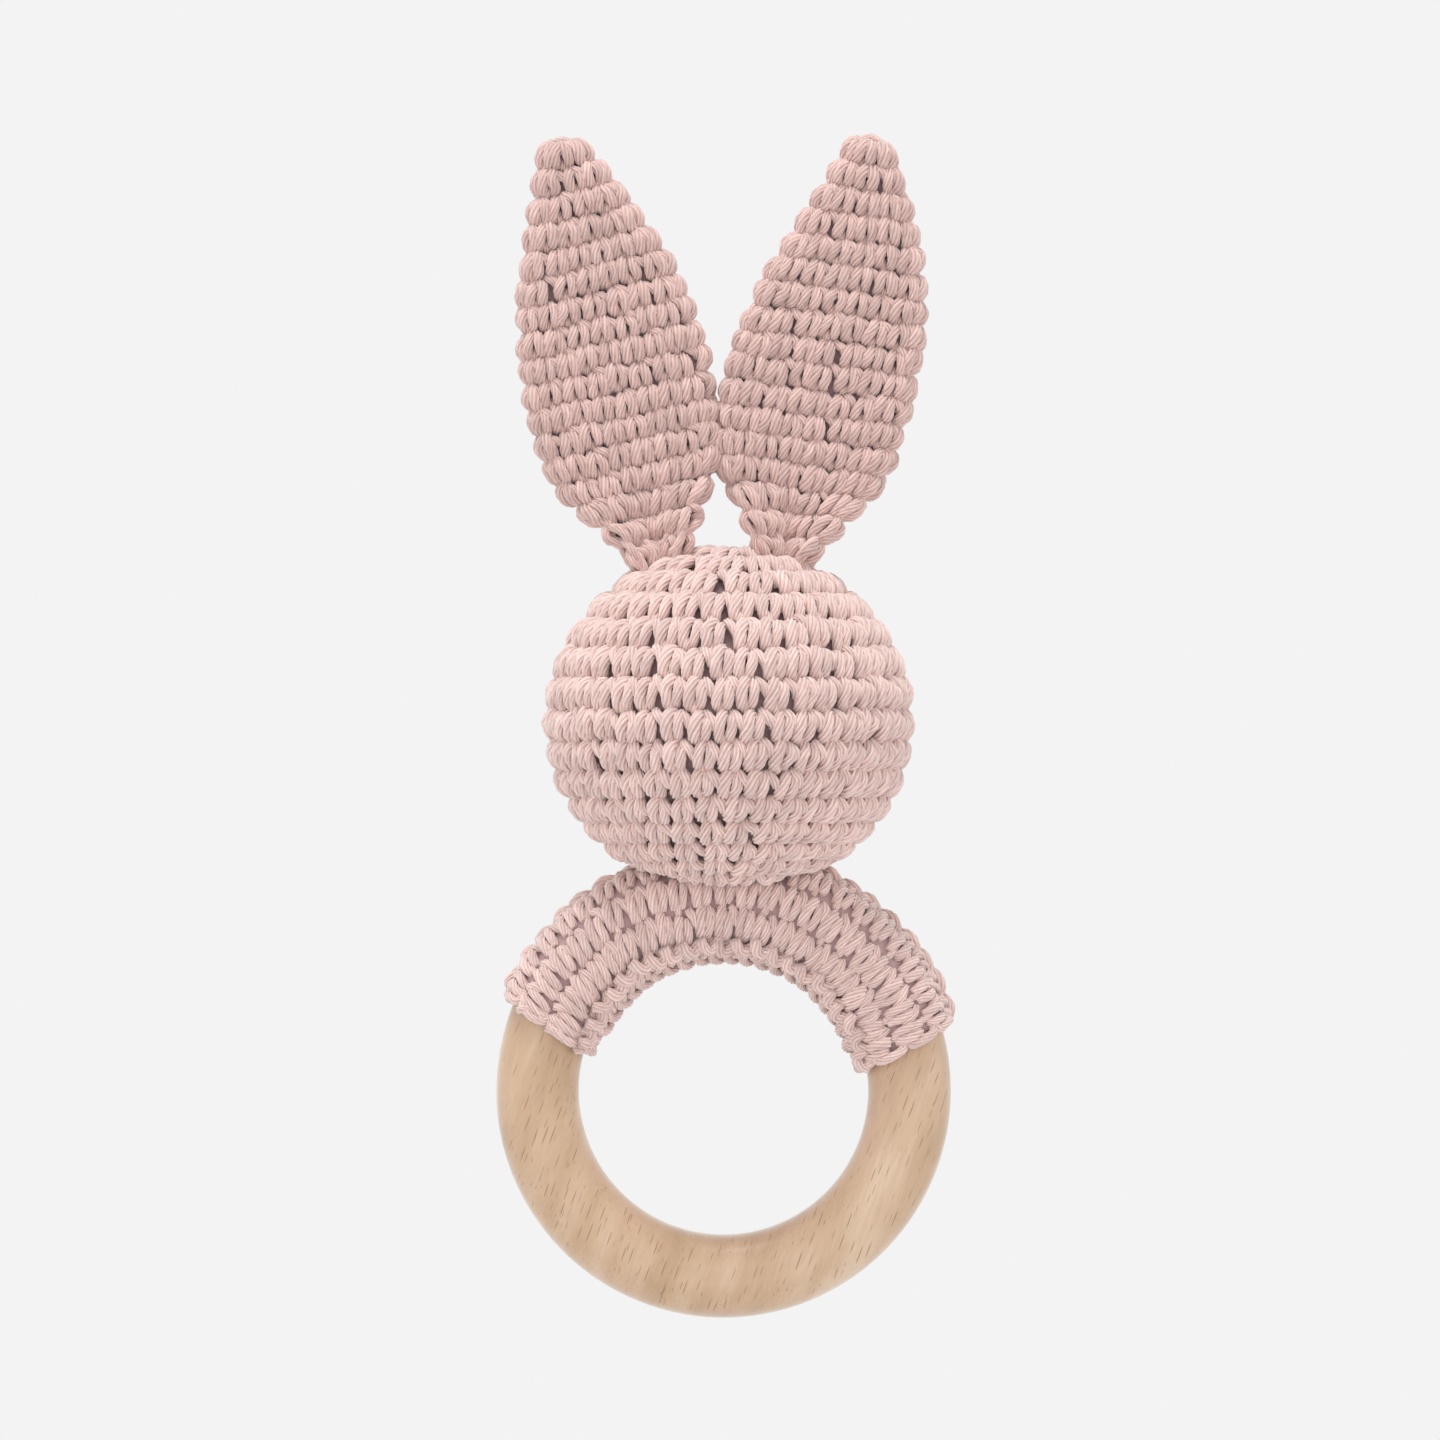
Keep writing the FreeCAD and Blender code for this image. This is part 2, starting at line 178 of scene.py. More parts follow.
def strands_through(controls, outward, thick, samples):
    """One strand through each row of control points, all facing outward."""
    paths = np.einsum("sc,ncd->nsd", smoothing_matrix(controls.shape[1], samples), controls)
    outward = np.repeat(outward[:, None], samples, axis=1)
    radius = np.full(paths.shape[:2], YARN_RADIUS * thick)
    return strand_mesh(paths, outward, radius)


def joined(parts):
    """Several strand meshes as one."""
    offset = 0
    whole = {key: [] for key in parts[0]}
    for part in parts:
        for key, value in part.items():
            whole[key].append(value + offset if key in ("quads", "caps") else value)
        offset += len(part["points"])
    return {key: np.concatenate(values) for key, values in whole.items()}


def mesh_object(name, part, material):
    """A smooth mesh object, in metres, with the yarn's own coordinates kept on it."""
    mesh = bpy.data.meshes.new(name)
    points, quads, caps = part["points"], part["quads"], part["caps"]
    mesh.vertices.add(len(points))
    mesh.vertices.foreach_set("co", (points * MM).astype(np.float32).ravel())
    loops = np.concatenate([quads.ravel(), caps.ravel()]).astype(np.int32)
    mesh.loops.add(len(loops))
    mesh.loops.foreach_set("vertex_index", loops)
    mesh.polygons.add(len(quads) + len(caps))
    starts = np.concatenate(
        [
            np.arange(len(quads)) * 4,
            len(quads) * 4 + np.arange(len(caps)) * caps.shape[1],
        ]
    ).astype(np.int32)
    mesh.polygons.foreach_set("loop_start", starts)
    mesh.update(calc_edges=True)
    mesh.polygons.foreach_set("use_smooth", np.ones(len(starts), bool))
    yarn = mesh.attributes.new("yarn", "FLOAT_VECTOR", "POINT")
    yarn.data.foreach_set("vector", part["yarn"].astype(np.float32).ravel())
    for key in ("ply", "tone"):
        attribute = mesh.attributes.new(key, "FLOAT", "POINT")
        attribute.data.foreach_set("value", part[key].astype(np.float32))
    mesh.validate()
    mesh.materials.append(material)
    piece = bpy.data.objects.new(name, mesh)
    bpy.context.scene.collection.objects.link(piece)
    return piece


# ---------------------------------------- stitches

# How unevenly the yarn is pulled, as the spread of normal draws.
STITCH_NUDGE = 0.04  # a whole stitch, in stitch widths and rows
POINT_STRAY = (0.018, 0.015, 0.07)  # a strand's points: across, down and out
GIRTH_SPREAD = 0.05
GIRTH_LIMITS = (0.85, 1.15)
# How much thinner a strand is at its first and its last end.
TAPER = (0.1, 0.3)
TAPER_POWER = 2.5


def yarn_path(thick, samples, *points):
    """One strand of a stitch: its thickness as a share, its samples and its control points.

    A point is across in stitch widths, down in rows, and out in millimetres from the
    fabric's mid surface.
    """
    return {"thick": thick, "samples": samples, "points": points}


# One single crochet stitch as seen from outside, worked downwards.
HEAD_STITCH = [
    # the leg that comes up out of the hole
    yarn_path(
        1.08, 12,
        (-0.02, 0.13, -0.7), (0.0, 0.22, 0.35), (0.01, 0.45, 0.78),
        (-0.06, 0.74, 0.42), (-0.14, 0.95, -0.6),
    ),
    # the leg beside it, a little fuller
    yarn_path(
        1.2, 12,
        (-0.26, 0.03, -0.45), (-0.35, 0.15, 0.45), (-0.43, 0.4, 0.78),
        (-0.49, 0.72, 0.42), (-0.51, 0.96, -0.6),
    ),
    # the front loop, filling the ridge between this stitch and the next
    yarn_path(
        1.0, 10,
        (-1.02, 0.0, -0.5), (-0.88, 0.12, 0.35), (-0.74, 0.26, 0.62),
        (-0.66, 0.42, 0.45), (-0.62, 0.56, -0.3),
    ),
    # the yarn over, sunk between the two legs
    yarn_path(
        0.85, 7,
        (-0.34, 0.62, -0.6), (-0.33, 0.82, -0.15), (-0.34, 1.0, -0.25),
        (-0.36, 1.14, -0.8),
    ),
]


def on_surface(surface, across, down, out):
    """Points at a height out over a surface, and the surface's outward directions there."""
    step = 1e-3
    over = surface(across + step, down) - surface(across - step, down)
    along = surface(across, down + step) - surface(across, down - step)
    normal = unit(np.cross(along, over))
    return surface(across, down) + normal * out[..., None], normal


def stitch_strands(stitch, across, down, wide, tall, place, wobble=1.0, full=1.0):
    """The strands of many stitches of one kind.

    across and down are the stitch's own corner in the fabric's coordinates, wide
    and tall its size in the same units. place(across, down, out) gives the points
    and outward directions in space. wobble scales how uneven the stitches are, and
    full is how thick the yarn lies, as a share.
    """
    count = len(across)
    nudge = RANDOM.normal(0, STITCH_NUDGE, (count, 2)) * wobble
    made = []
    for strand in stitch:
        control = np.array(strand["points"])
        number = len(control)
        points = np.repeat(control[None], count, axis=0)
        points[..., :2] += nudge[:, None]
        for axis, spread in enumerate(POINT_STRAY):
            points[..., axis] += RANDOM.normal(0, spread, (count, number)) * wobble
        line = np.einsum("sc,ncd->nsd", smoothing_matrix(number, strand["samples"]), points)
        paths, outward = place(
            across[:, None] + line[..., 0] * wide[:, None],
            down[:, None] + line[..., 1] * tall[:, None],
            line[..., 2],
        )
        girth = RANDOM.normal(1.0, GIRTH_SPREAD * wobble, (count, 1)).clip(*GIRTH_LIMITS)
        along = np.linspace(-1, 1, strand["samples"])
        taper = 1 - np.where(along > 0, TAPER[1], TAPER[0]) * np.abs(along) ** TAPER_POWER
        radius = YARN_RADIUS * full * strand["thick"] * girth * taper
        made.append(strand_mesh(paths, outward, radius))
    return made


# ---------------------------------------- head

HEAD_FIRST_ROW = -3  # the round at the crown
HEAD_LAST_ROW = 11
HEAD_BANDS = (0, 5, 8, 11, 15)  # how the rounds are shared out between the pieces
# The latitude of a row boundary, in degrees: at row 0, per row, and per row squared.
HEAD_LATITUDE = (48.1, -11.81, 0.146)
HEAD_SURFACE_DEPTH = 1.1  # the fabric's mid surface, inside the CAD's ball
HEAD_STITCHES_ROUND = 42
HEAD_LEAST_STITCHES = 6
HEAD_LEAST_LEVEL = 0.15  # a row's least share of the ball's radius, near the poles
# Where the stitches of one row start, and how far each row's slip round, in millimetres.
HEAD_START_ROW = 3
HEAD_COLUMN_START = 0.15
HEAD_COLUMN_SHIFT = 0.47
HEAD_STITCH_STRAY = 0.035
HEAD_WOBBLE = 1.3


def head_latitude(row):
    """The latitude of a row boundary, in radians: rows are closer near the foot."""
    at_zero, per_row, per_row_squared = HEAD_LATITUDE
    return np.radians(at_zero + per_row * row + per_row_squared * row**2)


def bar_middle(points):
    """The nearest points on the circle along the middle of the bar."""
    return unit(points * np.array([1.0, 0.0, 1.0])) * BAR_CENTRE


def off_the_saddle(points, clear):
    """Push points out of the round envelope that the sleeve needs."""
    middle = bar_middle(points)
    distance = np.linalg.norm(points - middle, axis=-1, keepdims=True)
    return np.where(distance < clear, middle + unit(points - middle) * clear, points)


def head_surface(turn, row):
    latitude = head_latitude(row).clip(-math.pi / 2, math.pi / 2)
    reach = (HEAD_RADIUS - HEAD_SURFACE_DEPTH) * np.cos(latitude)
    height = (HEAD_HALF_HEIGHT - HEAD_SURFACE_DEPTH) * np.sin(latitude)
    return HEAD_CENTRE + np.stack([reach * np.sin(turn), -reach * np.cos(turn), height], axis=-1)


def head_place(turn, row, out):
    points, normal = on_surface(head_surface, turn, row, out)
    return off_the_saddle(points, SADDLE_RADIUS + YARN_RADIUS), normal


def head_row(row):
    """All the stitches of one round of the head."""
    middle = float(np.cos(head_latitude(row + 0.5)))
    count = max(HEAD_LEAST_STITCHES, round(HEAD_STITCHES_ROUND * middle))
    wide = 2 * math.pi / count
    start = HEAD_COLUMN_START + HEAD_COLUMN_SHIFT * (row - HEAD_START_ROW)
    level = max(HEAD_LEAST_LEVEL, float(np.cos(head_latitude(row)))) * HEAD_RADIUS
    turn = start / level + np.arange(count) * wide
    turn = turn + RANDOM.normal(0, HEAD_STITCH_STRAY, count) * wide
    rows = np.full(count, float(row))
    return stitch_strands(
        HEAD_STITCH, turn, rows, np.full(count, wide), np.ones(count), head_place, HEAD_WOBBLE
    )


def make_head(material):
    rows = range(HEAD_FIRST_ROW, HEAD_LAST_ROW + 1)
    pieces = []
    for number, (start, end) in enumerate(zip(HEAD_BANDS[:-1], HEAD_BANDS[1:]), start=1):
        part = joined([mesh for row in rows[start:end] for mesh in head_row(row)])
        pieces.append(mesh_object(f"head_rounds_{number}", part, material))
    return pieces


# ---------------------------------------- ears

EAR_LENGTH = 63.0
EAR_PIVOT_HEIGHT = 86.4
EAR_PIVOT = {"left": -10.7, "right": 10.3}
EAR_LEAN = {"left": -13.0, "right": 12.2}
EAR_ROW_SKEW = {"left": 0.0, "right": 4.5}  # degrees, right side up
EAR_TIP = 0.968  # where the first row starts, as a share of the length
EAR_ROW = 3.93
EAR_ROWS = 17
EAR_SPLIT_ROW = 9  # the first row of the lower piece
EAR_STITCH_WIDTH = 3.5
EAR_LEAST_STITCHES = 5
EAR_SPIRAL = 0.12  # how far each row starts past the last, in stitches
EAR_STITCH_STRAY = 0.04
EAR_WOBBLE = 1.5
EAR_SURFACE_DEPTH = 1.45
EAR_LEAST_HALF_WIDTH = 0.25
EAR_HALF_THICK = 1.45
EAR_BEND_THICK = 2.4  # the edge's share of the round, as if it bent this wide
EAR_THICK_LIMIT = 0.98  # the most that the half thickness can be, in half widths
EAR_BEND_LIMIT = 1.6
# Share of the length from the root, and half the width of the ear laid flat.
EAR_OUTLINE = (
    (-0.12, 6.0), (-0.075, 6.6), (-0.037, 7.4), (0.0, 8.3), (0.05, 9.7),
    (0.12, 12.8), (0.20, 14.3), (0.30, 14.9), (0.38, 15.0), (0.50, 14.3),
    (0.62, 12.8), (0.69, 11.1), (0.757, 9.5), (0.813, 8.0), (0.894, 5.8),
    (0.937, 4.5), (0.968, 3.2),
)
# How far the ear's middle bows towards +X, at shares of its length.
EAR_BOW_AT = (0.0, 0.25, 0.45, 0.7, 0.97)
EAR_BOW = {"left": (0.0, -0.5, -0.3, -0.1, -0.7), "right": (0.0, -0.6, -0.1, 0.6, -0.5)}
# How far each half of the ear folds forward, in degrees, at shares of its length.
EAR_FOLD_AT = (-0.12, -0.075, -0.037, 0.0, 0.05, 0.1)
EAR_FOLD = (62.0, 56.0, 44.0, 28.0, 9.0, 0.0)
EAR_CREASE = 0.9  # half the width of the bend in the middle
# How the root is drawn in, each over a stretch given in shares of the length.
EAR_ROOT_THIN = 0.7  # the fabric's thickness, as a share
EAR_THIN_OVER = (-0.06, 0.08)
EAR_ROOT_BEND = 0.5  # the edge's bend, as a share
EAR_BEND_OVER = (-0.02, 0.16)
EAR_CROWDING = 0.1  # how much closer the stitches stand
EAR_CROWD_OVER = (0.1, -0.02)
# The closing strands at the tip: how far across, and how far above the first row.
EAR_TIP_ARCH = ((-2.0, -1.3), (-1.2, 0.0), (0.0, 0.45), (1.2, 0.0), (2.0, -1.3))
EAR_TIP_DEPTHS = (-0.5, 0.5)
EAR_TIP_THICK = 0.85
EAR_TIP_SAMPLES = 14
EAR_TIP_AROUND = 16  # the points of the opening that its middle is found from

EAR_STITCH = [
    yarn_path(
        1.08, 12,
        (0.1, 0.05, -0.5), (0.19, 0.18, 0.5), (0.26, 0.44, 0.82),
        (0.25, 0.73, 0.4), (0.2, 0.96, -0.65),
    ),
    yarn_path(
        1.1, 12,
        (-0.14, 0.04, -0.5), (-0.19, 0.17, 0.5), (-0.25, 0.42, 0.82),
        (-0.33, 0.71, 0.4), (-0.35, 0.96, -0.65),
    ),
    yarn_path(
        0.85, 9,
        (-0.92, -0.02, -0.5), (-0.74, 0.08, 0.3), (-0.55, 0.2, 0.65),
        (-0.44, 0.34, 0.3), (-0.36, 0.46, -0.4),
    ),
    yarn_path(
        0.8, 7,
        (-0.06, 0.62, -0.65), (-0.07, 0.82, -0.2), (-0.08, 0.98, -0.3),
        (-0.08, 1.1, -0.85),
    ),
]


def smooth_step(start, end, value):
    share = np.clip((value - start) / (end - start), 0, 1)
    return share * share * (3 - 2 * share)


def ear_half_width(share):
    stations, widths = zip(*EAR_OUTLINE)
    return np.interp(share, stations, widths)


def ear_round(share):
    """Half width, half thickness and length round of the ear's mid surface."""
    half = np.maximum(ear_half_width(share) - EAR_SURFACE_DEPTH, EAR_LEAST_HALF_WIDTH)
    thin = EAR_ROOT_THIN + (1 - EAR_ROOT_THIN) * smooth_step(*EAR_THIN_OVER, share)
    thick = np.minimum(EAR_HALF_THICK * thin, half * EAR_THICK_LIMIT)
    widen = EAR_ROOT_BEND + (1 - EAR_ROOT_BEND) * smooth_step(*EAR_BEND_OVER, share)
    bend = math.pi * np.minimum(EAR_BEND_THICK * widen, half * EAR_BEND_LIMIT)
    return half, thick, bend, 4 * (half - thick) + 2 * bend


def ear_section(part, share):
    """A point of the ear laid flat: how far across, and how deep from its middle.

    part is its share of the round, from the front's middle; the round is two flat faces
    joined by two bends.
    """
    half, thick, bend, whole = ear_round(share)
    place = np.mod(part, 1.0) * whole
    flat = half - thick
    marks = [flat, flat + bend, 3 * flat + bend, 3 * flat + 2 * bend]
    where = sum((place >= mark).astype(int) for mark in marks)
    zero = np.zeros_like(place)
    centre = np.choose(
        where, [place, flat + zero, 2 * flat + bend - place, -flat + zero, place - whole]
    )
    turn = np.choose(
        where,
        [
            zero,
            (place - marks[0]) / bend * math.pi,
            zero + math.pi,
            math.pi + (place - marks[2]) / bend * math.pi,
            zero + 2 * math.pi,
        ],
    )
    return centre + thick * np.sin(turn), -thick * np.cos(turn)


def ear_creased(across, deep, share):
    """The flat section's X and Y once both its halves fold forwards about a soft crease."""
    fold = np.radians(np.interp(share, EAR_FOLD_AT, EAR_FOLD)) + 1e-4  # never quite flat
    radius = EAR_CREASE / fold
    angle = fold * np.clip(across / EAR_CREASE, -1, 1)
    wing = np.maximum(np.abs(across) - EAR_CREASE, 0)
    x = radius * np.sin(angle) + np.sign(across) * wing * np.cos(fold)
    y = -radius * (1 - np.cos(angle)) - wing * np.sin(fold)
    return x + np.sin(angle) * deep, y + np.cos(angle) * deep


def ear_surface(side):
    """An ear's mid surface, over a share of the round and a count of rows from the tip."""
    lean = math.radians(EAR_LEAN[side])
    skew = math.tan(math.radians(EAR_ROW_SKEW[side]))

    def surface(part, row):
        share = EAR_TIP - row * EAR_ROW / EAR_LENGTH
        across, deep = ear_section(part, share)
        x, y = ear_creased(across, deep, share)
        z = EAR_LENGTH * share + x * skew
        x = x + np.interp(share, EAR_BOW_AT, EAR_BOW[side])
        return np.stack(
            [
                EAR_PIVOT[side] + x * math.cos(lean) + z * math.sin(lean),
                y,
                EAR_PIVOT_HEIGHT - x * math.sin(lean) + z * math.cos(lean),
            ],
            axis=-1,
        )

    return surface


def ear_row(side, row):
    """All the stitches of one round of an ear."""
    share = EAR_TIP - (row + 0.5) * EAR_ROW / EAR_LENGTH
    whole = float(ear_round(np.array(share))[3])
    crowded = 1 - EAR_CROWDING * float(smooth_step(*EAR_CROWD_OVER, share))
    count = max(EAR_LEAST_STITCHES, round(whole / EAR_STITCH_WIDTH / crowded))
    stray = RANDOM.normal(0, EAR_STITCH_STRAY, count)
    part = (EAR_SPIRAL * row + np.arange(count) + stray) / count
    surface = ear_surface(side)

    def place(across, down, out):
        return on_surface(surface, across, down, out)

    rows = np.full(count, float(row))
    wide = np.full(count, 1 / count)
    return stitch_strands(
        EAR_STITCH, part, rows, wide, np.ones(count), place, EAR_WOBBLE, crowded
    )


def ear_tip(side):
    """Two strands that draw the tip's opening shut, laid over it from edge to edge."""
    lean = math.radians(EAR_LEAN[side])
    across = np.array([math.cos(lean), 0.0, -math.sin(lean)])
    up = np.array([math.sin(lean), 0.0, math.cos(lean)])
    part = np.linspace(0, 1, EAR_TIP_AROUND, endpoint=False)
    middle = ear_surface(side)(part, np.zeros_like(part)).mean(axis=0)
    reach, height = np.array(EAR_TIP_ARCH).T
    arch = middle + reach[:, None] * across + height[:, None] * up
    depths = np.array(EAR_TIP_DEPTHS)[:, None, None] * np.array([0.0, 1.0, 0.0])
    return strands_through(arch + depths, np.array([up, up]), EAR_TIP_THICK, EAR_TIP_SAMPLES)


def make_ear(side, material):
    upper = [mesh for row in range(EAR_SPLIT_ROW) for mesh in ear_row(side, row)]
    upper.append(ear_tip(side))
    lower = [mesh for row in range(EAR_SPLIT_ROW, EAR_ROWS) for mesh in ear_row(side, row)]
    bands = {"upper": upper, "lower": lower}
    return {
        name: mesh_object(f"ear_{side}_{name}_rounds", joined(meshes), material)
        for name, meshes in bands.items()
    }


# ---------------------------------------- sleeve

SLEEVE_GROWTH = 0.85  # the fabric's mid surface, outside the bare bar
SLEEVE_LEAST_GROWTH = 0.8  # no strand's middle comes nearer the bar than this
SLEEVE_RELIEF = 0.72
SLEEVE_STITCHES = 22
SLEEVE_STITCH_START = 0.75  # the first stitch of a row, in stitches from its left end
SLEEVE_WOBBLE = 1.3
SLEEVE_LEFT_END = -69.0
SLEEVE_RIGHT_END = 76.0
SLEEVE_END_SKEW = 3.5  # how much further down the inner edge ends, degrees
SLEEVE_TWIST = 2.0  # how far the rows slip inwards from the left end to the right
SLEEVE_TWIST_OVER = (0.6, 0.9)  # where the slip starts and ends, as shares of the way to each end
# Row boundaries round the section, in millimetres from the middle of the front,
# inwards positive, with the last one at the slit.
SLEEVE_ROWS = (-34.35, -29.5, -24.7, -19.9, -15.05, -10.2, -5.6, -0.4, 5.2, 11.45)
SLEEVE_BACK_ROWS = 5  # the first rows, which make the back piece
SLEEVE_LOOPED_ROWS = (4, 8)  # the rows with a free loop over each stitch's foot

SLEEVE_FULL = 0.86
SLEEVE_BAR = [
    # the free loop that lies over the foot of a row, a little sagging
    yarn_path(
        1.3, 12,
        (-0.6, -0.16, 1.5), (-0.38, 0.03, 2.0), (-0.04, 0.11, 2.0),
        (0.3, 0.03, 1.3), (0.5, -0.06, 0.4),
    ),
]
# A turning loop at the sleeve's end, in millimetres past it, in rows down, and out.
SLEEVE_END_LOOP = (
    (-0.9, 0.04, -0.5),
    (0.2, 0.14, 0.5),
    (0.5, 0.5, 0.75),
    (0.2, 0.86, 0.5),
    (-0.9, 0.96, -0.5),
)
SLEEVE_END_STRAY = (0.003, 0.06)  # along the arc in radians, and out
SLEEVE_END_SAMPLES = 14


def section_knots():
    """Where the rounded-square section's straight and round parts meet, at the mid surface."""
    straight_in = BAR_WIDTH - 2 * BAR_CORNER
    straight_deep = BAR_DEPTH - 2 * BAR_CORNER
    quarter = (BAR_CORNER + SLEEVE_GROWTH) * math.pi / 2
    lengths = [0, straight_deep / 2, quarter, straight_in, quarter, straight_deep]
    lengths += [quarter, straight_in, quarter, straight_deep / 2]
    near, far = BAR_CENTRE - straight_in / 2, BAR_CENTRE + straight_in / 2
    back, front = straight_deep / 2, -straight_deep / 2
    return {
        "along": np.cumsum(lengths),
        "turn": np.radians([0, 0, 90, 90, 180, 180, 270, 270, 360, 360]),
        "reach": [near, near, near, far, far, far, far, near, near, near],
        "deep": [0, back, back, back, back, front, front, front, front, 0],
    }


SECTION = section_knots()
SECTION_ROUND = SECTION["along"][-1]
SECTION_FRONT = 0.75 * SECTION_ROUND  # the front's middle


def sleeve_surface(arc, along):
    """The mid surface over arc, radians from the top towards +X, and along, millimetres
    round the section from the front's middle, inwards."""
    place = np.clip(along + SECTION_FRONT, 0, SECTION_ROUND)
    turn = np.interp(place, SECTION["along"], SECTION["turn"])
    reach = np.interp(place, SECTION["along"], SECTION["reach"])
    deep = np.interp(place, SECTION["along"], SECTION["deep"])
    bend = BAR_CORNER + SLEEVE_GROWTH
    radius = reach - bend * np.cos(turn)
    half = math.radians((SLEEVE_RIGHT_END - SLEEVE_LEFT_END) / 2)
    middle = math.radians((SLEEVE_RIGHT_END + SLEEVE_LEFT_END) / 2)
    inner = (BAR_CENTRE - radius) / (BAR_WIDTH / 2)
    arc = middle + (arc - middle) * (1 + math.radians(SLEEVE_END_SKEW) * inner / half)
    return np.stack(
        [radius * np.sin(arc), deep + bend * np.sin(turn), radius * np.cos(arc)], axis=-1
    )


def sleeve_place(arc, along, out):
    out = np.maximum(out * SLEEVE_RELIEF, SLEEVE_LEAST_GROWTH - SLEEVE_GROWTH)
    return on_surface(sleeve_surface, arc, along, out)


def sleeve_row(top, foot, kinds):
    """All the stitches of one row of the sleeve, from its left end to its right."""
    left, right = math.radians(SLEEVE_LEFT_END), math.radians(SLEEVE_RIGHT_END)
    wide = (right - left) / SLEEVE_STITCHES
    arc = left + (np.arange(SLEEVE_STITCHES) + SLEEVE_STITCH_START) * wide
    slip_start, slip_end = left * SLEEVE_TWIST_OVER[0], right * SLEEVE_TWIST_OVER[1]
    slip = SLEEVE_TWIST * smooth_step(slip_start, slip_end, arc)
    slip = slip * math.cos(math.pi * (top + foot) / 2 / SECTION_ROUND) ** 2
    wides = np.full(SLEEVE_STITCHES, wide)
    talls = np.full(SLEEVE_STITCHES, foot - top)
    made = []
    for kind in kinds:
        made += stitch_strands(
            kind, arc, top + slip, wides, talls, sleeve_place, SLEEVE_WOBBLE, SLEEVE_FULL
        )
    return made


def sleeve_end_loops(end, sign):
    """The turning loops of the rows at one end of the sleeve, from slit to slit."""
    tops, feet = np.array(SLEEVE_ROWS[:-1]), np.array(SLEEVE_ROWS[1:])
    past, down, out = np.array(SLEEVE_END_LOOP).T
    along = tops[:, None] + (feet - tops)[:, None] * down
    out = out + RANDOM.normal(0, SLEEVE_END_STRAY[1], along.shape)
    arc = math.radians(end) + sign * past / BAR_CENTRE
    arc = arc + RANDOM.normal(0, SLEEVE_END_STRAY[0], along.shape)
    weights = smoothing_matrix(len(SLEEVE_END_LOOP), SLEEVE_END_SAMPLES)
    line = [np.einsum("sc,nc->ns", weights, value) for value in (arc, along, out)]
    paths, outward = sleeve_place(*line)
    radius = np.full(paths.shape[:2], YARN_RADIUS * SLEEVE_FULL)
    return strand_mesh(paths, outward, radius)


def make_sleeve(material):
    parts = {"back": [], "front": []}
    for number, (top, foot) in enumerate(zip(SLEEVE_ROWS[:-1], SLEEVE_ROWS[1:])):
        kinds = [HEAD_STITCH, SLEEVE_BAR] if number in SLEEVE_LOOPED_ROWS else [HEAD_STITCH]
        name = "back" if number < SLEEVE_BACK_ROWS else "front"
        parts[name] += sleeve_row(top, foot, kinds)
    parts["front"].append(sleeve_end_loops(SLEEVE_LEFT_END, -1))
    parts["front"].append(sleeve_end_loops(SLEEVE_RIGHT_END, 1))
    return [
        mesh_object(f"sleeve_rows_{name}", joined(meshes), material)
        for name, meshes in parts.items()
    ]


# ---------------------------------------- linings and seams

# The linings: the rows they span, how far out from the mid surface they lie, and their steps.
HEAD_LINING_ROWS = (HEAD_FIRST_ROW - 0.35, HEAD_LAST_ROW + 2.7)
HEAD_LINING_OUT = -1.25
EAR_LINING_ROWS = (0.45, EAR_ROWS - 0.1)
EAR_LINING_OUT = -1.05
SLEEVE_LINING_INSET = (0.6, 0.8)  # degrees from the ends, and millimetres from the slit
SLEEVE_LINING_OUTER = -0.2
SLEEVE_LINING_INNER = 0.1 - SLEEVE_GROWTH
LINING_STEPS = 70
HEAD_LINING_AROUND = 96
EAR_LINING_AROUND = 72
SLEEVE_LINING_STEPS = (80, 60)  # along the arc, and from slit to slit
LINING_CLEAR = 0.8

SEAM_THICK = 0.8
SEAM_SAMPLES = 12
SEAM_STRAY = {"sleeve": 0.08, "neck": 0.07, "ear": 0.08}
NECK_CLEAR = 0.9
NECK_SEARCH = (HEAD_LAST_ROW + 2.4, 5.0, 600)  # the rows tried for the neck's line: from, to, steps
NECK_STITCHES = 34
NECK_STITCH_STRAY = 0.02
NECK_LEAN = 0.5 * math.pi / NECK_STITCHES  # how far round a stitch's upper end stands
# A neck stitch's upper points, out from the head, and its lower ones, down onto the sleeve.
NECK_OUT = (-0.6, 0.55, 0.5)
NECK_FOOT = (1.5, SADDLE_RADIUS + YARN_RADIUS * 0.8)
NECK_DEEP = (2.4, SADDLE_RADIUS - 0.6)
EAR_SEAM_STITCHES = 9
EAR_SEAM_STITCH_STRAY = 0.12
# An ear stitch's upper points, in rows from the tip and out, and its lower ones, in
# millimetres further down and out from the head, once lifted clear of the ear.
EAR_SEAM_OVER = ((15.7, -0.3), (16.1, 0.7), (16.7, 0.8))
EAR_SEAM_INTO = ((1.2, 0.1), (1.6, -1.3))
EAR_SEAM_LIFT = 0.3
SLEEVE_SEAM_START = 0.6  # the first lacing stitch, in stitches from the left end
SLEEVE_SEAM_STITCH_STRAY = 0.06
# A lacing stitch: along the arc in stitches, deep from the middle, and out from the ring's centre.
SLEEVE_LACING = (
    (0.0, -2.6, 21.2),
    (0.2, -1.5, 20.2),
    (0.5, 0.0, 20.0),
    (0.8, 1.5, 20.2),
    (1.0, 2.6, 21.2),
)


def lining_part(rows):
    """A closed surface through rings of points, as a part that mesh_object takes."""
    count, around, _ = rows.shape
    points = rows.reshape(-1, 3)
    blank = np.zeros(len(points))
    quads, caps = tube_faces(1, count, around)
    return {
        "points": points,
        "quads": quads,
        "caps": caps,
        "yarn": points.copy(),
        "ply": blank + PROFILE.max(),
        "tone": blank + 0.5,
    }


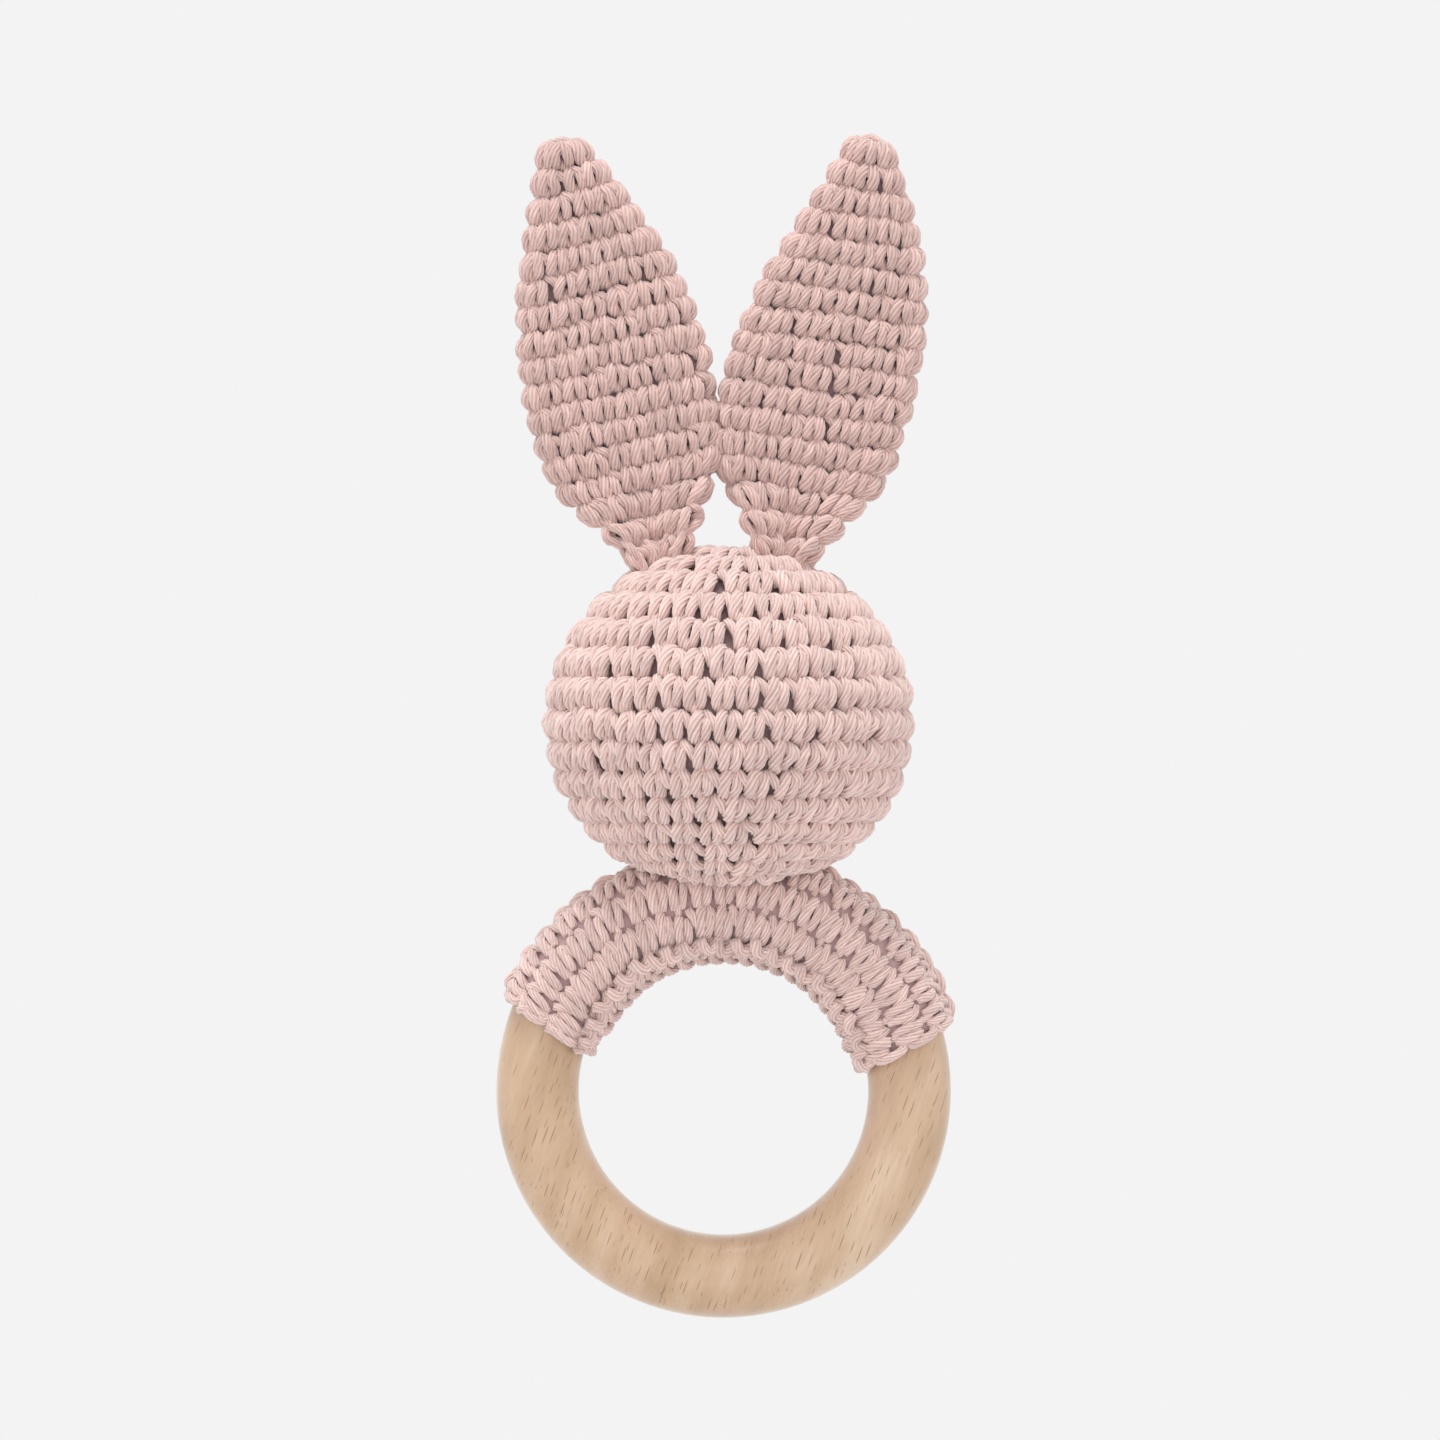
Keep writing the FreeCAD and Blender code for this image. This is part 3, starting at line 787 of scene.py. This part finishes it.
def make_head_lining(material):
    """The inner side of the head's fabric, seen at the bottom of the holes."""
    turn = np.linspace(0, 2 * math.pi, HEAD_LINING_AROUND, endpoint=False)
    row = np.linspace(*HEAD_LINING_ROWS, LINING_STEPS)
    turn, row = np.meshgrid(turn, row)
    points, _ = on_surface(head_surface, turn, row, np.full(turn.shape, HEAD_LINING_OUT))
    points = off_the_saddle(points, SADDLE_RADIUS + LINING_CLEAR)
    return mesh_object("head_lining", lining_part(points), material)


def make_ear_lining(side, material):
    """The inner side of an ear's fabric."""
    part = np.linspace(0, 1, EAR_LINING_AROUND, endpoint=False)
    row = np.linspace(*EAR_LINING_ROWS, LINING_STEPS)
    part, row = np.meshgrid(part, row)
    points, _ = on_surface(ear_surface(side), part, row, np.full(part.shape, EAR_LINING_OUT))
    return mesh_object(f"ear_{side}_lining", lining_part(points), material)


def make_sleeve_lining(material):
    """The inner side of the sleeve's fabric, a thin sheet round the bar with its slit."""
    from_end, from_slit = SLEEVE_LINING_INSET
    steps, half_round = SLEEVE_LINING_STEPS
    arc = np.linspace(SLEEVE_LEFT_END + from_end, SLEEVE_RIGHT_END - from_end, steps)
    along = np.linspace(SLEEVE_ROWS[0] + from_slit, SLEEVE_ROWS[-1] - from_slit, half_round)
    loop = np.concatenate([along, along[::-1]])
    out = np.repeat([SLEEVE_LINING_OUTER, SLEEVE_LINING_INNER], half_round)
    arc, loop = np.meshgrid(np.radians(arc), loop, indexing="ij")
    points, _ = on_surface(sleeve_surface, arc, loop, out)
    return mesh_object("sleeve_lining", lining_part(points), material)


def make_sleeve_seam(material):
    """Yarn laced over the slit on the inner side of the sleeve."""
    wide = math.radians(SLEEVE_RIGHT_END - SLEEVE_LEFT_END) / SLEEVE_STITCHES
    start = np.arange(SLEEVE_STITCHES - 1) + SLEEVE_SEAM_START
    start = math.radians(SLEEVE_LEFT_END) + start * wide
    start = start + RANDOM.normal(0, SLEEVE_SEAM_STITCH_STRAY, len(start)) * wide
    controls = []
    for share, deep, radius in SLEEVE_LACING:
        arc = start + share * wide
        controls.append(
            np.stack([radius * np.sin(arc), np.full(len(arc), deep), radius * np.cos(arc)], -1)
        )
    controls = np.stack(controls, axis=1)
    controls += RANDOM.normal(0, SEAM_STRAY["sleeve"], controls.shape)
    inward = -unit(controls.mean(axis=1) * np.array([1.0, 0.0, 1.0]))
    strands = strands_through(controls, inward, SEAM_THICK, SEAM_SAMPLES)
    return mesh_object("sleeve_seam_stitches", strands, material)


def neck_contact(turn):
    """The head's row at which it meets the sleeve's envelope, for each direction round."""
    rows = np.linspace(*NECK_SEARCH)
    points = head_surface(*np.meshgrid(turn, rows, indexing="ij"))
    distance = np.linalg.norm(points - bar_middle(points), axis=-1)
    free = distance > SADDLE_RADIUS + NECK_CLEAR
    return rows[np.argmax(free, axis=1)]


def saddle_step(points, direction, reach):
    """From points by direction, then out to reach from the bar's middle."""
    moved = points + direction
    middle = bar_middle(moved)
    return middle + unit(moved - middle) * reach


def make_neck_seam(material):
    """Whip stitches where the head is sewn down on the sleeve, all the way round."""
    turn = np.linspace(0, 2 * math.pi, NECK_STITCHES, endpoint=False)
    turn = turn + RANDOM.normal(0, NECK_STITCH_STRAY, NECK_STITCHES)
    row = neck_contact(turn)
    contact, normal = head_place(turn, row, np.zeros_like(row))
    high, high_normal = head_place(turn - NECK_LEAN, row - 0.5, np.zeros_like(row))
    down = unit(contact - high)
    upper = [
        high + high_normal * NECK_OUT[0],
        high + high_normal * NECK_OUT[1],
        contact + normal * NECK_OUT[2],
    ]
    lower = [saddle_step(contact, down * drop, reach) for drop, reach in (NECK_FOOT, NECK_DEEP)]
    controls = np.stack(upper + lower, axis=1)
    controls += RANDOM.normal(0, SEAM_STRAY["neck"], controls.shape)
    strands = strands_through(controls, normal, SEAM_THICK, SEAM_SAMPLES)
    return mesh_object("neck_seam_stitches", strands, material)


def make_ear_seam(side, material):
    """Whip stitches from an ear's folded root down into the head."""
    stray = RANDOM.normal(0, EAR_SEAM_STITCH_STRAY, EAR_SEAM_STITCHES)
    part = (np.arange(EAR_SEAM_STITCHES) + stray) / EAR_SEAM_STITCHES
    surface = ear_surface(side)
    controls = []
    for row, out in EAR_SEAM_OVER:
        rows = np.full(EAR_SEAM_STITCHES, row)
        points, normal = on_surface(surface, part, rows, np.full(EAR_SEAM_STITCHES, out))
        controls.append(points)
    edge = points + normal * EAR_SEAM_LIFT
    radii = np.array([HEAD_RADIUS, HEAD_RADIUS, HEAD_HALF_HEIGHT]) - HEAD_SURFACE_DEPTH
    for drop, out in EAR_SEAM_INTO:
        from_centre = edge - np.array([0.0, 0.0, drop]) - HEAD_CENTRE
        level = np.linalg.norm(from_centre / radii, axis=-1, keepdims=True)
        controls.append(HEAD_CENTRE + from_centre / level * (1 + out / HEAD_RADIUS))
    controls = np.stack(controls, axis=1)
    controls += RANDOM.normal(0, SEAM_STRAY["ear"], controls.shape)
    strands = strands_through(controls, normal, SEAM_THICK, SEAM_SAMPLES)
    return mesh_object(f"ear_{side}_seam_stitches", strands, material)


# ---------------------------------------- camera

FRAME_WIDTH = 0.2218  # what the picture takes in at the ring, metres
CAMERA_DISTANCE = 1.3
CAMERA_X = -0.00054
CAMERA_HEIGHT = 0.0570
CAMERA_CLIP = (0.01, 50)  # the nearest and the furthest it sees, metres
SENSOR = 36.0


def make_camera():
    data = bpy.data.cameras.new("camera")
    data.sensor_width = SENSOR
    data.lens = SENSOR * CAMERA_DISTANCE / FRAME_WIDTH
    data.clip_start, data.clip_end = CAMERA_CLIP
    camera = bpy.data.objects.new("camera", data)
    camera.location = (CAMERA_X, -CAMERA_DISTANCE, CAMERA_HEIGHT)
    camera.rotation_euler = (math.pi / 2, 0, 0)
    bpy.context.scene.collection.objects.link(camera)
    bpy.context.scene.camera = camera


make_camera()


# ---------------------------------------- shader nodes


def srgb(red, green, blue):
    """A colour given as 0 to 255 on screen, as the linear values a shader takes."""
    linear = []
    for value in (red, green, blue):
        share = value / 255
        linear.append(share / 12.92 if share <= 0.04045 else ((share + 0.055) / 1.055) ** 2.4)
    return (*linear, 1.0)


def new_material(name):
    material = bpy.data.materials.new(name)
    material.use_nodes = True
    return material, material.node_tree, material.node_tree.nodes["Principled BSDF"]


def feed(tree, node, inputs):
    """Give each named input of a node another node's output, or a plain value."""
    for name, value in inputs.items():
        if isinstance(value, bpy.types.NodeSocket):
            tree.links.new(value, node.inputs[name])
        else:
            node.inputs[name].default_value = value


def new_node(tree, kind, inputs, **settings):
    node = tree.nodes.new(f"ShaderNode{kind}")
    for name, value in settings.items():
        setattr(node, name, value)
    feed(tree, node, inputs)
    return node


def scaled_coordinates(tree, turn, scale):
    """Object coordinates turned by turn (radians) and then scaled."""
    place = new_node(tree, "TexCoord", {}).outputs["Object"]
    turned = new_node(tree, "Mapping", {"Vector": place, "Rotation": turn}).outputs["Vector"]
    return new_node(tree, "Mapping", {"Vector": turned, "Scale": scale}).outputs["Vector"]


def noise(tree, vector, detail, roughness, scale=1.0):
    inputs = {"Vector": vector, "Scale": scale, "Detail": detail, "Roughness": roughness}
    return new_node(tree, "TexNoise", inputs).outputs["Fac"]


def map_range(tree, value, source, target):
    inputs = {"Value": value, "From Min": source[0], "From Max": source[1]}
    inputs.update({"To Min": target[0], "To Max": target[1]})
    return new_node(tree, "MapRange", inputs).outputs["Result"]


def math_node(tree, operation, first, second=0.0):
    return new_node(tree, "Math", {0: first, 1: second}, operation=operation).outputs["Value"]


def vector_math(tree, operation, inputs, output="Vector"):
    return new_node(tree, "VectorMath", inputs, operation=operation).outputs[output]


def mixed(tree, factor, first, second):
    inputs = {"Factor": factor, "A": first, "B": second}
    return new_node(tree, "Mix", inputs, data_type="RGBA").outputs["Result"]


def bump(tree, height, strength, distance):
    inputs = {"Height": height, "Strength": strength, "Distance": distance}
    return new_node(tree, "Bump", inputs).outputs["Normal"]


def colour_ramp(tree, value, stops):
    """The colour at value, from stops of a position and a colour, lowest first."""
    ramp = new_node(tree, "ValToRGB", {"Fac": value})
    elements = ramp.color_ramp.elements
    for element, (position, colour) in zip(elements, (stops[0], stops[-1])):
        element.position = position
        element.color = colour
    for position, colour in stops[1:-1]:
        elements.new(position).color = colour
    return ramp.outputs["Color"]


def evenly(low, high, colours):
    """Colours as stops from low to high, the same distance apart."""
    return list(zip(np.linspace(low, high, len(colours)), colours))


# ---------------------------------------- cotton

FIBRE_SCALE = (9.0, 9.0, 1.1)  # fibres per millimetre, across the yarn twice and along it
FIBRE_STOPS = (0.3, 0.5, 0.72)
# Painted shade: the share of the yarn's colour kept in the valleys between its plies, and on top of
# one.
VALLEY_SHADE = (0.68, 1.0)  # between two plies, and on top of one
TONE_SHADE = (0.84, 1.12)


def cotton_material(name, light, middle, dark):
    """Matt cotton yarn: fibres along the plies, painted shade in the valleys between the plies, and
    a tone that drifts from strand to strand.
    """
    material, tree, shader = new_material(name)
    yarn, ply, tone = (
        new_node(tree, "Attribute", {}, attribute_name=key) for key in ("yarn", "ply", "tone")
    )
    place = new_node(tree, "Mapping", {"Vector": yarn.outputs["Vector"], "Scale": FIBRE_SCALE})
    fibres = noise(tree, place.outputs["Vector"], 4.0, 0.65)
    colour = colour_ramp(tree, fibres, list(zip(FIBRE_STOPS, (dark, middle, light))))
    # Painted shade: the yarn darker in the valleys between its plies, then times the strand's tone,
    # which is real.
    painted_valley_shade = map_range(tree, ply.outputs["Fac"], LOBE[:2], VALLEY_SHADE)
    drift = map_range(tree, tone.outputs["Fac"], (0.0, 1.0), TONE_SHADE)
    painted_shade_and_tone = math_node(tree, "MULTIPLY", painted_valley_shade, drift)
    inputs = {
        "Base Color": vector_math(tree, "SCALE", {0: colour, "Scale": painted_shade_and_tone}),
        "Normal": bump(tree, fibres, 0.5, 0.00012),
        "Roughness": 0.88,
        "Sheen Weight": 0.8,
        "Sheen Roughness": 0.5,
        "Specular IOR Level": 0.25,
    }
    feed(tree, shader, inputs)
    return material


# ---------------------------------------- wood

GRAIN_TILT = -20.0  # degrees from upright, towards +X at the top
GRAIN_TURN = (0, math.radians(GRAIN_TILT), 0)
# Per metre across, deep and along the grain.
WOOD_BANDS = (230, 120, 34)
WOOD_PATCHES = (70, 70, 40)
WOOD_FINE = (2600, 2600, 260)
WOOD_WARP = (60, 60, 60)
WOOD_COLOURS = (
    srgb(189, 156, 124),
    srgb(199, 166, 134),
    srgb(206, 175, 145),
    srgb(217, 189, 161),
)
WOOD_PINK = srgb(203, 168, 142)
RAY_COLOUR = srgb(146, 103, 70)
# The rays show as broad sheets and as fine needles: cells per metre, half a dash's
# size in cells, and the share of dashes that are more than the least size.
RAY_SHEETS = ((950, 400, 280), (0.1, 0.55, 0.5), 0.9)
RAY_NEEDLES = ((1150, 1150, 330), (0.1, 0.16, 0.46), 0.8)
RAY_SIZES = (0.3, 1.0)
RAY_EDGE = (0.75, 1.05)  # where a dash fades out, as shares of its size
SHEETS_DARK = 0.75
NEEDLES_DARK = 0.65


def grain_noise(tree, scale, detail, roughness):
    return noise(tree, scaled_coordinates(tree, GRAIN_TURN, scale), detail, roughness)


def rays(tree, shift, scale, half_size, larger):
    """Dashes along the grain, one to a cell of a stretched pattern: 1 inside, 0 outside."""
    place = vector_math(tree, "ADD", {0: scaled_coordinates(tree, GRAIN_TURN, scale), 1: shift})
    cells = new_node(tree, "TexVoronoi", {"Vector": place, "Scale": 1.0})
    away = vector_math(tree, "SUBTRACT", {0: place, 1: cells.outputs["Position"]})
    squashed = vector_math(tree, "MULTIPLY", {0: away, 1: [1 / half for half in half_size]})
    length = vector_math(tree, "LENGTH", {0: squashed}, "Value")
    size = new_node(tree, "SeparateColor", {"Color": cells.outputs["Color"]}).outputs["Red"]
    grown = map_range(tree, size, (1 - larger, 1.0), RAY_SIZES)
    return map_range(tree, math_node(tree, "DIVIDE", length, grown), RAY_EDGE, (1.0, 0.0))


def wood_rays(tree):
    """How dark the rays are; the sheets run from front to back, so they fade towards the rims."""
    warp = grain_noise(tree, WOOD_WARP, 1.0, 0.5)
    shift = new_node(tree, "CombineXYZ", {"X": math_node(tree, "MULTIPLY", warp, 0.5)})
    sheets = rays(tree, shift.outputs["Vector"], *RAY_SHEETS)
    needles = rays(tree, shift.outputs["Vector"], *RAY_NEEDLES)
    normal = new_node(tree, "TexCoord", {}).outputs["Normal"]
    deep = new_node(tree, "SeparateXYZ", {"Vector": normal}).outputs["Y"]
    on_face = map_range(tree, math_node(tree, "ABSOLUTE", deep), (0.3, 0.65), (0.0, SHEETS_DARK))
    sheets = math_node(tree, "MULTIPLY", sheets, on_face)
    needles = math_node(tree, "MULTIPLY", needles, NEEDLES_DARK)
    return math_node(tree, "MAXIMUM", sheets, needles)


def beech_material():
    """Pale steamed beech: soft bands along the grain, and the short dark rays across them."""
    material, tree, shader = new_material("beech")
    bands = grain_noise(tree, WOOD_BANDS, 3.0, 0.5)
    base = colour_ramp(tree, bands, evenly(0.32, 0.7, WOOD_COLOURS))
    patches = grain_noise(tree, WOOD_PATCHES, 1.0, 0.5)
    pink = mixed(tree, map_range(tree, patches, (0.4, 0.7), (0.0, 0.55)), base, WOOD_PINK)
    fine = grain_noise(tree, WOOD_FINE, 2.0, 0.6)
    keep = map_range(tree, fine, (0.3, 0.7), (0.94, 1.04))
    grain = vector_math(tree, "SCALE", {0: pink, "Scale": keep})
    dark = wood_rays(tree)
    inputs = {
        "Base Color": mixed(tree, dark, grain, RAY_COLOUR),
        "Normal": bump(tree, math_node(tree, "SUBTRACT", keep, dark), 0.25, 0.00008),
        "Roughness": map_range(tree, fine, (0.3, 0.7), (0.40, 0.52)),
        "Specular IOR Level": 0.35,
        "Coat Weight": 0.3,
        "Coat Roughness": 0.3,
        "Sheen Weight": 0.7,
        "Sheen Roughness": 0.45,
    }
    feed(tree, shader, inputs)
    return material


# ---------------------------------------- other materials


def speckled_material(name, colours, scale, roughness, bump_distance):
    """A plain material whose colour and surface vary finely: fibre filling or moulded plastic."""
    material, tree, shader = new_material(name)
    vector = scaled_coordinates(tree, (0, 0, 0), (1, 1, 1))
    grain = noise(tree, vector, 4.0, 0.6, scale)
    inputs = {
        "Base Color": colour_ramp(tree, grain, evenly(0.3, 0.7, colours)),
        "Normal": bump(tree, grain, 0.5, bump_distance),
        "Roughness": roughness,
    }
    feed(tree, shader, inputs)
    return material


def give_material(node, material):
    """A CAD node keeps its shape and takes a better material."""
    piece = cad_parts[node]
    piece.data.materials.clear()
    piece.data.materials.append(material)


# ---------------------------------------- stage and light

BACKDROP_BRIGHTNESS = srgb(243, 243, 243)[0]
FLOOR_HEIGHT = -0.17  # clear of the ears when the sleeve is turned upside down, metres
FLOOR_RADIUS = 2.2
WALL_BEND = 0.6
WALL_TOP = 3.0
BEND_STEPS = 12
STAGE_SIDES = 48
ROOM_BRIGHTNESS = 0.28
LIGHTS_AIM = (0, 0, 0.05)
LIGHTS = (  # name, place, width and power
    ("above", (-0.1, -0.22, 1.0), 0.5, 6.0),
    ("front", (0.0, -1.2, 0.02), 0.6, 1.3),
    ("left_side", (-0.9, -0.35, -0.02), 0.7, 1.4),
    ("right_side", (0.9, -0.35, -0.02), 0.7, 1.4),
)


def stage_profile():
    """Radius and height from the floor's middle, out and up round the bend to the wall's top."""
    profile = [(0.0, FLOOR_HEIGHT), (FLOOR_RADIUS, FLOOR_HEIGHT)]
    for step in range(1, BEND_STEPS + 1):
        angle = step / BEND_STEPS * math.pi / 2
        rise = WALL_BEND * (1 - math.cos(angle))
        profile.append((FLOOR_RADIUS + WALL_BEND * math.sin(angle), FLOOR_HEIGHT + rise))
    profile.append((FLOOR_RADIUS + WALL_BEND, WALL_TOP))
    return profile


def make_stage():
    """A pale round floor that curves up into a wall all round."""
    mesh = bpy.data.meshes.new("backdrop")
    form = bmesh.new()
    verts = [form.verts.new((radius, 0, height)) for radius, height in stage_profile()]
    edges = [form.edges.new(pair) for pair in zip(verts[:-1], verts[1:])]
    bmesh.ops.spin(
        form,
        geom=verts + edges,
        cent=(0, 0, 0),
        axis=(0, 0, 1),
        angle=2 * math.pi,
        steps=STAGE_SIDES,
    )
    bmesh.ops.remove_doubles(form, verts=form.verts, dist=1e-5)
    form.to_mesh(mesh)
    form.free()
    mesh.shade_smooth()
    material, tree, shader = new_material("backdrop_paper")
    inputs = {
        "Base Color": (0.0, 0.0, 0.0, 1),
        "Roughness": 1.0,
        "Specular IOR Level": 0.0,
        "Emission Color": (1, 1, 1, 1),
        "Emission Strength": BACKDROP_BRIGHTNESS,
    }
    feed(tree, shader, inputs)
    mesh.materials.append(material)
    backdrop = bpy.data.objects.new("backdrop", mesh)
    bpy.context.scene.collection.objects.link(backdrop)


def make_area_light(name, place, size, power):
    data = bpy.data.lights.new(name, "AREA")
    data.shape = "DISK"
    data.size = size
    data.energy = power
    light = bpy.data.objects.new(name, data)
    light.location = place
    aim = unit(np.array(LIGHTS_AIM) - place)
    light.rotation_euler = (math.acos(-aim[2]), 0, math.atan2(aim[0], -aim[1]) + math.pi)
    bpy.context.scene.collection.objects.link(light)


def make_light():
    world = bpy.data.worlds.new("soft_room")
    world.use_nodes = True
    background = world.node_tree.nodes["Background"]
    background.inputs["Color"].default_value = (1.0, 1.0, 1.0, 1)
    background.inputs["Strength"].default_value = ROOM_BRIGHTNESS
    bpy.context.scene.world = world
    for light in LIGHTS:
        make_area_light(*light)
    bpy.context.scene.view_settings.view_transform = "Standard"


make_stage()
make_light()

cotton = cotton_material(
    "cotton_yarn", srgb(252, 229, 222), srgb(244, 211, 203), srgb(217, 178, 171)
)
# The ears' yarn is the same cotton painted a little darker: painted shade on the ears.
ear_cotton_painted_shade = cotton_material(
    "ear_yarn_painted_shade", srgb(240, 214, 207), srgb(230, 194, 186), srgb(203, 161, 153)
)
# The linings' yarn is the same cotton painted darker and greyer: painted shade at the bottom of the
# holes.
lining_painted_shade = cotton_material(
    "lining_yarn_painted_shade", srgb(208, 175, 173), srgb(190, 157, 157), srgb(162, 132, 135)
)
filling_colours = (srgb(225, 223, 218), srgb(240, 239, 235), srgb(250, 250, 248))
filling = speckled_material("fibre_filling", filling_colours, 900, 0.95, 0.0004)
drum_colours = (srgb(226, 229, 230), srgb(236, 238, 239), srgb(243, 245, 246))
drum_plastic = speckled_material("rattle_plastic", drum_colours, 1500, 0.38, 0.00001)
bead_colours = (srgb(222, 205, 160), srgb(232, 216, 174), srgb(239, 225, 187))
bead_plastic = speckled_material("bead_plastic", bead_colours, 2500, 0.3, 0.00001)

give_material("wooden_ring", beech_material())
give_material("head_stuffing", filling)
give_material("rattle_drum", drum_plastic)
give_material("rattle_cap", drum_plastic)
for number in range(1, 5):
    give_material(f"rattle_bead_{number}", bead_plastic)


def dress(piece, node, body=None):
    """Hide the CAD node that a yarn piece is drawn in place of, and let the piece ride on body if
    it has one.
    """
    if body:
        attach(piece, body)
    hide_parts(node)


for piece in make_head(cotton):
    dress(piece, "head_cover", "head")
head_lining = make_head_lining(lining_painted_shade)
dress(head_lining, "head_cover", "head")
neck_seam = make_neck_seam(cotton)
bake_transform(neck_seam)
dress(neck_seam, "neck_seam_yarn")

for side in ("left", "right"):
    ear = make_ear(side, ear_cotton_painted_shade)
    lining = make_ear_lining(side, lining_painted_shade)
    seam = make_ear_seam(side, ear_cotton_painted_shade)
    dress(ear["upper"], f"ear_{side}", f"{side}_ear")
    for piece, node in (
        (ear["lower"], f"ear_{side}"),
        (lining, f"ear_{side}"),
        (seam, f"ear_{side}_seam_yarn"),
    ):
        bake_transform(piece)
        dress(piece, node)

for piece in make_sleeve(cotton):
    dress(piece, "ring_sleeve", "sleeve")
dress(make_sleeve_lining(lining_painted_shade), "ring_sleeve", "sleeve")
dress(make_sleeve_seam(cotton), "sleeve_seam_yarn", "sleeve")
